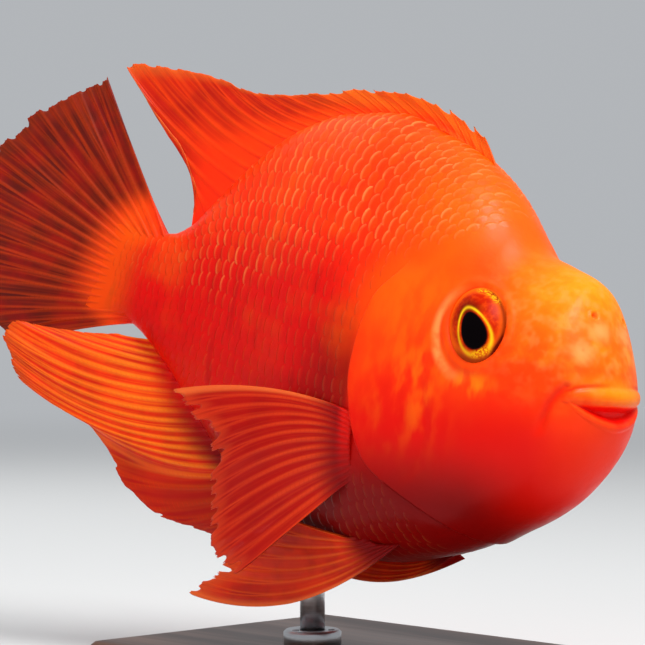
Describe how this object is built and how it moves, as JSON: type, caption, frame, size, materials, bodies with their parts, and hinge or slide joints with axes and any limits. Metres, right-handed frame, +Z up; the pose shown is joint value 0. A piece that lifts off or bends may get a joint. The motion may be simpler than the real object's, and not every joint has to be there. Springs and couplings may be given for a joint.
{
  "type": "blood parrot cichlid model",
  "caption": "Life-size still model of a blood parrot cichlid swimming with its tail swung to one side, held on a flat display base by a short rod.",
  "frame": {"origin": "centre of the stand base's bottom face, on the floor", "axes": "+Z up, +X the way the fish swims, +Y to the fish's left"},
  "size_m": [0.1916, 0.084, 0.1529],
  "materials": {
    "body_skin": "wet, scaled orange-red skin",
    "fin_web": "thin, half clear orange web with raised rays",
    "eye": "clear dome over a black pupil, gold ring and orange iris",
    "stand_base": "dark stained, satin",
    "stand_steel": "satin"
  },
  "bodies": {
    "root": {"head": "body_skin", "torso": "body_skin", "tail": "body_skin", "gill_cover_right": "body_skin", "gill_cover_left": "body_skin", "eye_right": "eye", "eye_left": "eye", "dorsal_fin": "fin_web", "caudal_fin": "fin_web", "anal_fin": "fin_web", "pectoral_fin_right": "fin_web", "pectoral_fin_left": "fin_web", "pelvic_fin_right": "fin_web", "pelvic_fin_left": "fin_web", "stand_base": "stand_base", "stand_rod": "stand_steel", "stand_collar": "stand_steel"}
  },
  "joints": []
}
